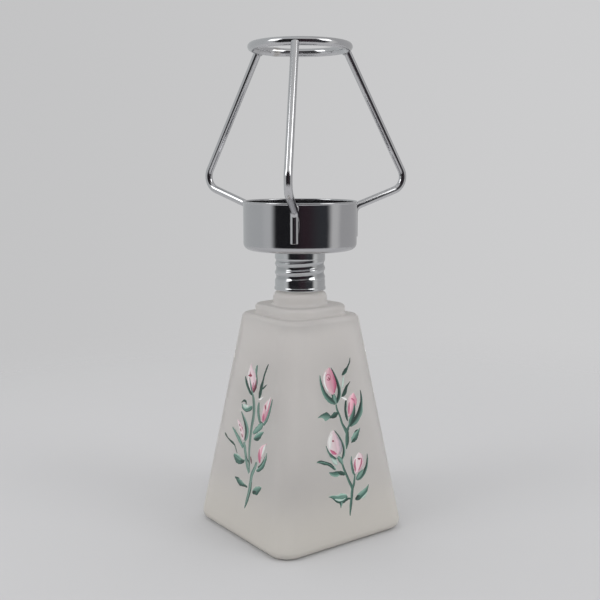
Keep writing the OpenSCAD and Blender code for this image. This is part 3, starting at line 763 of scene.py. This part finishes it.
def buildCup():
    # out along the underside, up the wall, over the rolled lip, down inside and back to the rivet hole
    c = cup
    outside, top = c["inside"] + c["sheet"], c["bottom"] + c["height"]
    lipZ, lipR = top - c["lip"]/2, c["inside"] + c["lip"]/2
    inner = c["corner"] - c["sheet"]
    profile = np.concatenate([
        np.stack([np.linspace(c["hole"], outside - c["corner"], 14), np.full(14, c["bottom"])], axis=1),
        arc(outside - c["corner"], c["bottom"] + c["corner"], c["corner"], -90, 0, 14)[1:],
        np.stack([np.full(16, outside), np.linspace(c["bottom"] + c["corner"] + 0.4, lipZ - 0.45, 16)], axis=1),
        arc(lipR, lipZ, c["lip"]/2, -60, 180, 16),
        np.stack([np.full(14, c["inside"]), np.linspace(lipZ - 0.3, c["bottom"] + c["corner"] + 0.2, 14)], axis=1),
        arc(c["inside"] - inner, c["bottom"] + c["corner"], inner, 0, -90, 10),
        np.stack([np.linspace(c["inside"] - inner - 0.3, c["hole"], 16), np.full(16, c["bottom"] + c["sheet"])],
            axis=1),
    ])
    points = turned(profile, c["segments"])
    # pressed sheet is never quite round: a few hundredths of a millimetre, the same on both faces
    angle = np.arange(c["segments"])*fullTurn/c["segments"]
    radius = np.hypot(points[..., 0], points[..., 1])
    bulge = 0.045*lumps(2.2*np.cos(angle), 2.2*np.sin(angle), 8)[None, :]*ease(14, 19, radius)
    points[..., :2] *= ((radius + bulge)/radius)[..., None]
    makePiece("candleCup", points.reshape(-1, 3), gridQuads(len(profile), c["segments"], rowsClose=True), [],
              sheetChrome, "head", "candle_cup", crease=55)


def buildRivet():
    # a hollow rivet: a flat head under the cap's top and a rolled, domed head on the cup's floor
    floor, under = cup["bottom"] + cup["sheet"], cap["top"] - 0.5
    profile = np.concatenate([
        [[0.9, under - 0.5], [2.6, under - 0.5], [2.8, under - 0.35], [2.8, under - 0.02], [1.62, under - 0.02],
            [1.62, floor + 0.02]],
        arc(2.35, floor + 0.22, 0.22, -80, 90, 8) + [0.2, 0],
        arc(1.5, floor + 0.0, 0.5, 75, 130, 6) + [0, 0],
        [[0.98, floor + 0.12], [0.9, floor - 0.1]],
    ])
    points = turned(profile, 64)
    makePiece("cupRivet", points.reshape(-1, 3), gridQuads(len(profile), 64, rowsClose=True), [], wireChrome,
              "head", "cup_eyelet", crease=45)


buildCup()
buildRivet()
print("cap, cup and rivet")


# The wire cage

cage = {
    "wire": 1.4, "legR": 22.12, "legLow": 107.1, "sill": (22.12, 118.1), "knee": (45.2, 126.1), "top": (18.3,
        174.4),
    "sillBend": 3.2, "kneeBend": 5.2, "cut": 0.6, "around": 32,
    "arms": (("wireArmFront", "arm_front", 228.6), ("wireArmRight", "arm_right", 348.6), ("wireArmLeft",
        "arm_left", 108.6)),
}


def bentLine(corners, bends, spacing=1.2):
    # straight runs joined by arcs: each arc starts where the radius times the tangent of half the turn is left before the corner
    corners = [np.array(c, float) for c in corners]
    rows = [corners[0]]
    for before, corner, after, radius in zip(corners, corners[1:], corners[2:], bends):
        u, v = (corner - before)/np.linalg.norm(corner - before), (after - corner)/np.linalg.norm(after - corner)
        turnAngle = math.atan2(u[0]*v[1] - u[1]*v[0], u @ v)
        setback = radius*math.tan(abs(turnAngle)/2)
        start = corner - u*setback
        run = max(2, int(np.linalg.norm(start - rows[-1])/spacing))
        rows += list(rows[-1] + (start - rows[-1])*np.linspace(0, 1, run + 1)[1:, None])
        side = math.copysign(1, turnAngle)
        centre = start + side*radius*np.array([-u[1], u[0]])
        spokes = start - centre
        for a in np.linspace(0, turnAngle, 14)[1:]:
            c, s = math.cos(a), math.sin(a)
            rows.append(centre + np.array([spokes[0]*c - spokes[1]*s, spokes[0]*s + spokes[1]*c]))
    run = max(2, int(np.linalg.norm(corners[-1] - rows[-1])/spacing))
    rows += list(rows[-1] + (corners[-1] - rows[-1])*np.linspace(0, 1, run + 1)[1:, None])
    return np.array(rows)


def buildArm(name, node, azimuth, seed):
    g = cage
    knee, top = np.array(g["knee"]), np.array(g["top"])
    end = top - (top - knee)/np.linalg.norm(top - knee)*g["cut"]
    line = bentLine([(g["legR"], g["legLow"]), g["sill"], g["knee"], tuple(end)], (g["sillBend"], g["kneeBend"]))
    heading = np.gradient(line, axis=0)
    heading /= np.linalg.norm(heading, axis=1, keepdims=True)
    normal = np.stack([-heading[:, 1], heading[:, 0]], axis=1)
    # the wire's radius, a little less at the two sawn ends, whose edges are broken
    travel = np.concatenate([[0], np.cumsum(np.linalg.norm(np.diff(line, axis=0), axis=1))])
    ring = np.arange(g["around"])*fullTurn/g["around"]
    thick = g["wire"]*(1 + 0.008*lumps(travel[:, None]/5, np.cos(ring)[None, :], seed, 2))
    first = line[:1] + heading[:1]*[[0.12]]
    last = line[-1:] - heading[-1:]*[[0.12]]
    line = np.concatenate([line[:1], first, line[1:-1], last, line[-1:]])
    normal = np.concatenate([normal[:1], normal[:1], normal[1:-1], normal[-1:], normal[-1:]])
    thick = np.concatenate([thick[:1] - 0.14, thick[:1], thick[1:-1], thick[-1:], thick[-1:] - 0.14])
    r = line[:, 0:1] + thick*np.cos(ring)*normal[:, 0:1]
    z = line[:, 1:2] + thick*np.cos(ring)*normal[:, 1:2]
    across = thick*np.sin(ring)
    c, s = math.cos(math.radians(azimuth)), math.sin(math.radians(azimuth))
    points = np.stack([r*c - across*s, r*s + across*c, z], axis=-1).reshape(-1, 3)
    n = g["around"]
    ends = np.stack([[line[0, 0]*c, line[0, 0]*s, line[0, 1]], [line[-1, 0]*c, line[-1, 0]*s, line[-1, 1]]])
    fans = np.concatenate([fanFaces(np.arange(n)[::-1], len(points)), fanFaces(np.arange(n) + (len(line) - 1)*n,
        len(points) + 1)])
    makePiece(name, np.concatenate([points, ends]), gridQuads(len(line), n), fans, wireChrome, "head", node,
              crease=35)
    return end


def buildRing():
    # a closed wire ring that swells a little where its ends were butted and welded
    around, across = 240, 32
    a, b = np.arange(around)*fullTurn/around, np.arange(across)*fullTurn/across
    off = (a - buttWeld["azimuth"] + math.pi) % fullTurn - math.pi
    wire = ringSize["wire"]*(1 + buttWeld["swell"]*np.exp(-(off/buttWeld["spread"])**2)[:,
        None]*(1 + 0.25*lumps(2*b[None, :], 9*off[:, None], 77)))
    r = ringSize["radius"] + wire*np.cos(b)
    points = np.stack([r*np.cos(a)[:, None], r*np.sin(a)[:, None], ringSize["height"] + wire*np.sin(b)], axis=-1)
    makePiece("topRing", points.reshape(-1, 3), gridQuads(around, across, rowsClose=True), [], ringChrome, "head",
              "top_ring", crease=None)


def weldBead(name, azimuth, centre, size, seed):
    # a melted bead: an ellipsoid with lumps, its axes pointing out from the cage's axis, round it and up
    rows, columns = 18, 28
    t = np.linspace(0, math.pi, rows + 2)[1:-1, None]
    a = np.arange(columns)[None, :]*fullTurn/columns
    x, y, z = np.sin(t)*np.cos(a), np.sin(t)*np.sin(a), np.cos(t) + 0*a
    swell = 1 + 0.10*lumps(2.5*x + 1.5*z, 2.5*y - z, seed)
    outward, around, up = centre[0] + size[0]*x*swell, centre[1] + size[1]*y*swell, centre[2] + size[2]*z*swell
    c, s = math.cos(math.radians(azimuth)), math.sin(math.radians(azimuth))
    points = np.stack([outward*c - around*s, outward*s + around*c, up], axis=-1).reshape(-1, 3)
    poles = np.array([[centre[0]*c - centre[1]*s, centre[0]*s + centre[1]*c, centre[2] + size[2]],
                      [centre[0]*c - centre[1]*s, centre[0]*s + centre[1]*c, centre[2] - size[2]]])
    ring = np.arange(columns)
    fans = np.concatenate([fanFaces(ring[::-1], len(points)), fanFaces(ring + (rows - 1)*columns, len(points) + 1)])
    makePiece(name, np.concatenate([points, poles]), gridQuads(rows, columns), fans, weldChrome, "head",
              crease=None)


for number, (name, node, azimuth) in enumerate(cage["arms"]):
    end = buildArm(name, node, azimuth, 40 + number)
    label = name.replace("wireArm", "")
    weldBead("weldRing" + label, azimuth, (end[0] - 0.75, 0.0, end[1] - 0.75), (0.75, 1.35, 0.7), 60 + number)
    for half, tag in ((-1, "A"), (1, "B")):
        weldBead("weldLeg" + label + tag, azimuth, (20.75, half*1.05, 113.4), (0.42, 0.55, 3.2),
            70 + 3*number + half)
    weldBead("weldLip" + label, azimuth, (21.0, 0.75, 119.0), (0.7, 0.8, 1.3), 90 + number)
buildRing()

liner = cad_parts["cap_liner"]
liner.data.materials.clear()
liner.data.materials.append(foam)
print("cage, ring and welds")


# Stage, lamps and camera

studio = {
    "paper": (0.575, 0.575, 0.58), "paperReach": 0.45,
    "backdrop": (0.578, 0.578, 0.584),
    "skyLight": 0.88,
    "lampAngle": 62, "lampRise": 36, "lampDistance": 1.15, "lampWide": 0.45, "lampTall": 0.6, "lampPower": 2.0,
}
towardsCamera = np.array([math.cos(view["azimuth"]), math.sin(view["azimuth"]), 0.0])
towardsRight = np.array([-math.sin(view["azimuth"]), math.cos(view["azimuth"]), 0.0])


def buildStage():
    # a round sheet of pale paper whose rim melts into the backdrop
    rows, columns = 24, 96
    r = np.linspace(0.02, 1, rows)[:, None]*studio["paperReach"]/mm
    a = np.arange(columns)[None, :]*fullTurn/columns
    points = np.stack([r*np.cos(a), r*np.sin(a), 0*r*a - 0.02], axis=-1).reshape(-1, 3)
    mesh = bpy.data.meshes.new("paperSheet")
    ring = [tuple(q) for q in gridQuads(rows, columns)] + [tuple(range(columns - 1, -1, -1))]
    mesh.from_pydata((points*mm).tolist(), [], [tuple(int(i) for i in q) for q in ring])
    sheet = bpy.data.objects.new("paperSheet", mesh)
    bpy.context.scene.collection.objects.link(sheet)
    f = Finish("palePaper")
    where = f.place()
    away = f.add("ShaderNodeVectorMath", {"operation": "LENGTH"}, {0: where}, output="Value")
    fade = f.step(studio["paperReach"]*0.30, studio["paperReach"]*0.95, away)
    soft = f.noise(where, 6, 2)
    paper = f.add("ShaderNodeBsdfDiffuse", {}, {"Color": f.blend(soft*0.5, studio["paper"],
        tuple(c*0.985 for c in studio["paper"]))})
    clear = f.add("ShaderNodeBsdfTransparent")
    mesh.materials.append(f.surface(f.add("ShaderNodeMixShader", {}, {0: fade, 1: paper, 2: clear})))


def buildWorld():
    # the room: a pale backdrop and sides, and the dark room behind the camera that polished metal mirrors
    world = bpy.data.worlds.new("studioRoom")
    bpy.context.scene.world = world
    f = Finish("studioRoom", world)
    way = f.add("ShaderNodeTexCoord", output="Generated")
    path = lambda output: f.add("ShaderNodeLightPath", output=output)
    dot = lambda direction: f.add("ShaderNodeVectorMath", {"operation": "DOT_PRODUCT"},
                                  {0: way, 1: tuple(float(v) for v in direction)}, output="Value")
    up = f.add("ShaderNodeSeparateXYZ", {}, {0: way}, output="Z")
    flat = f.add("ShaderNodeMath", {"operation": "SQRT"}, {0: 1.0001 - up*up})
    turnRight = math.radians(3.5)
    middle = towardsCamera*math.cos(turnRight) + towardsRight*math.sin(turnRight)
    ahead = dot(middle)/flat
    sideways = dot(towardsRight)
    dark = f.step(math.cos(math.radians(67)), math.cos(math.radians(51)), ahead)*(1 - f.step(0.60, 0.78, up))
    gloom = f.blend(f.step(-0.25, 0.15, sideways), (0.012, 0.012, 0.014), (0.030, 0.018, 0.024))
    gloom = f.blend(f.step(0.20, 0.70, sideways), gloom, (0.036, 0.038, 0.043))
    rim = f.step(0.0, 0.28, ahead)
    left = f.blend(rim, (0.51, 0.525, 0.53), (0.56, 0.57, 0.575))
    right = f.blend(rim, (0.44, 0.44, 0.445), (0.61, 0.61, 0.605))
    mirrored = f.blend(dark, f.blend(f.step(-0.3, 0.3, sideways), left, right), gloom)
    even = f.add("ShaderNodeCombineColor", {}, {0: studio["skyLight"], 1: studio["skyLight"],
        2: studio["skyLight"]*1.01})
    # painted shade and light on the backdrop seen straight on: 6 % darker to the left and 6 % lighter to the right
    backdrop = f.blend(f.step(-0.45, 0.45, sideways), tuple(c*0.94 for c in studio["backdrop"]),
        tuple(c*1.06 for c in studio["backdrop"]))
    glossy = path("Is Glossy Ray")*(1 - path("Is Transmission Ray"))
    colour = f.blend(glossy, even, mirrored)
    colour = f.blend(path("Is Transmission Ray"), colour, studio["backdrop"])
    colour = f.blend(path("Is Camera Ray"), colour, backdrop)
    f.add("ShaderNodeOutputWorld", {}, {"Surface": f.add("ShaderNodeBackground", {}, {"Color": colour,
        "Strength": 1.0})})


def placeLamp(name, angle, rise, distance, wide, tall, power, target=(0, 0, 0.09)):
    # a soft box at an angle to the right of the camera's direction, aimed at the holder
    a, e = math.radians(angle), math.radians(rise)
    direction = (towardsCamera*math.cos(a) + towardsRight*math.sin(a))*math.cos(e) + np.array([0, 0, math.sin(e)])
    data = bpy.data.lights.new(name, "AREA")
    data.shape, data.size, data.size_y, data.energy = "RECTANGLE", wide, tall, power
    lamp = bpy.data.objects.new(name, data)
    bpy.context.scene.collection.objects.link(lamp)
    lamp.location = tuple(np.array(target) + direction*distance)
    lamp.rotation_mode = "QUATERNION"
    lamp.rotation_quaternion = Vector(-direction).to_track_quat("-Z", "Y")


def placeCamera():
    data = bpy.data.cameras.new("photoCamera")
    data.lens, data.sensor_width = view["lens"], 36.0
    camera = bpy.data.objects.new("photoCamera", data)
    bpy.context.scene.collection.objects.link(camera)
    camera.location = tuple(towardsCamera*view["distance"]*mm + np.array([0, 0, view["height"]*mm]))
    camera.rotation_euler = (math.pi/2 - view["pitch"], 0, view["azimuth"] + math.pi/2)
    data.clip_start, data.clip_end = 0.01, 50
    bpy.context.scene.camera = camera


buildStage()
buildWorld()
s = studio
for name, sign in (("softBoxLeft", -1), ("softBoxRight", 1)):
    placeLamp(name, sign*s["lampAngle"], s["lampRise"], s["lampDistance"], s["lampWide"], s["lampTall"],
        s["lampPower"])
placeCamera()
bpy.context.scene.view_settings.view_transform = "Standard"
print("stage, lamps and camera")
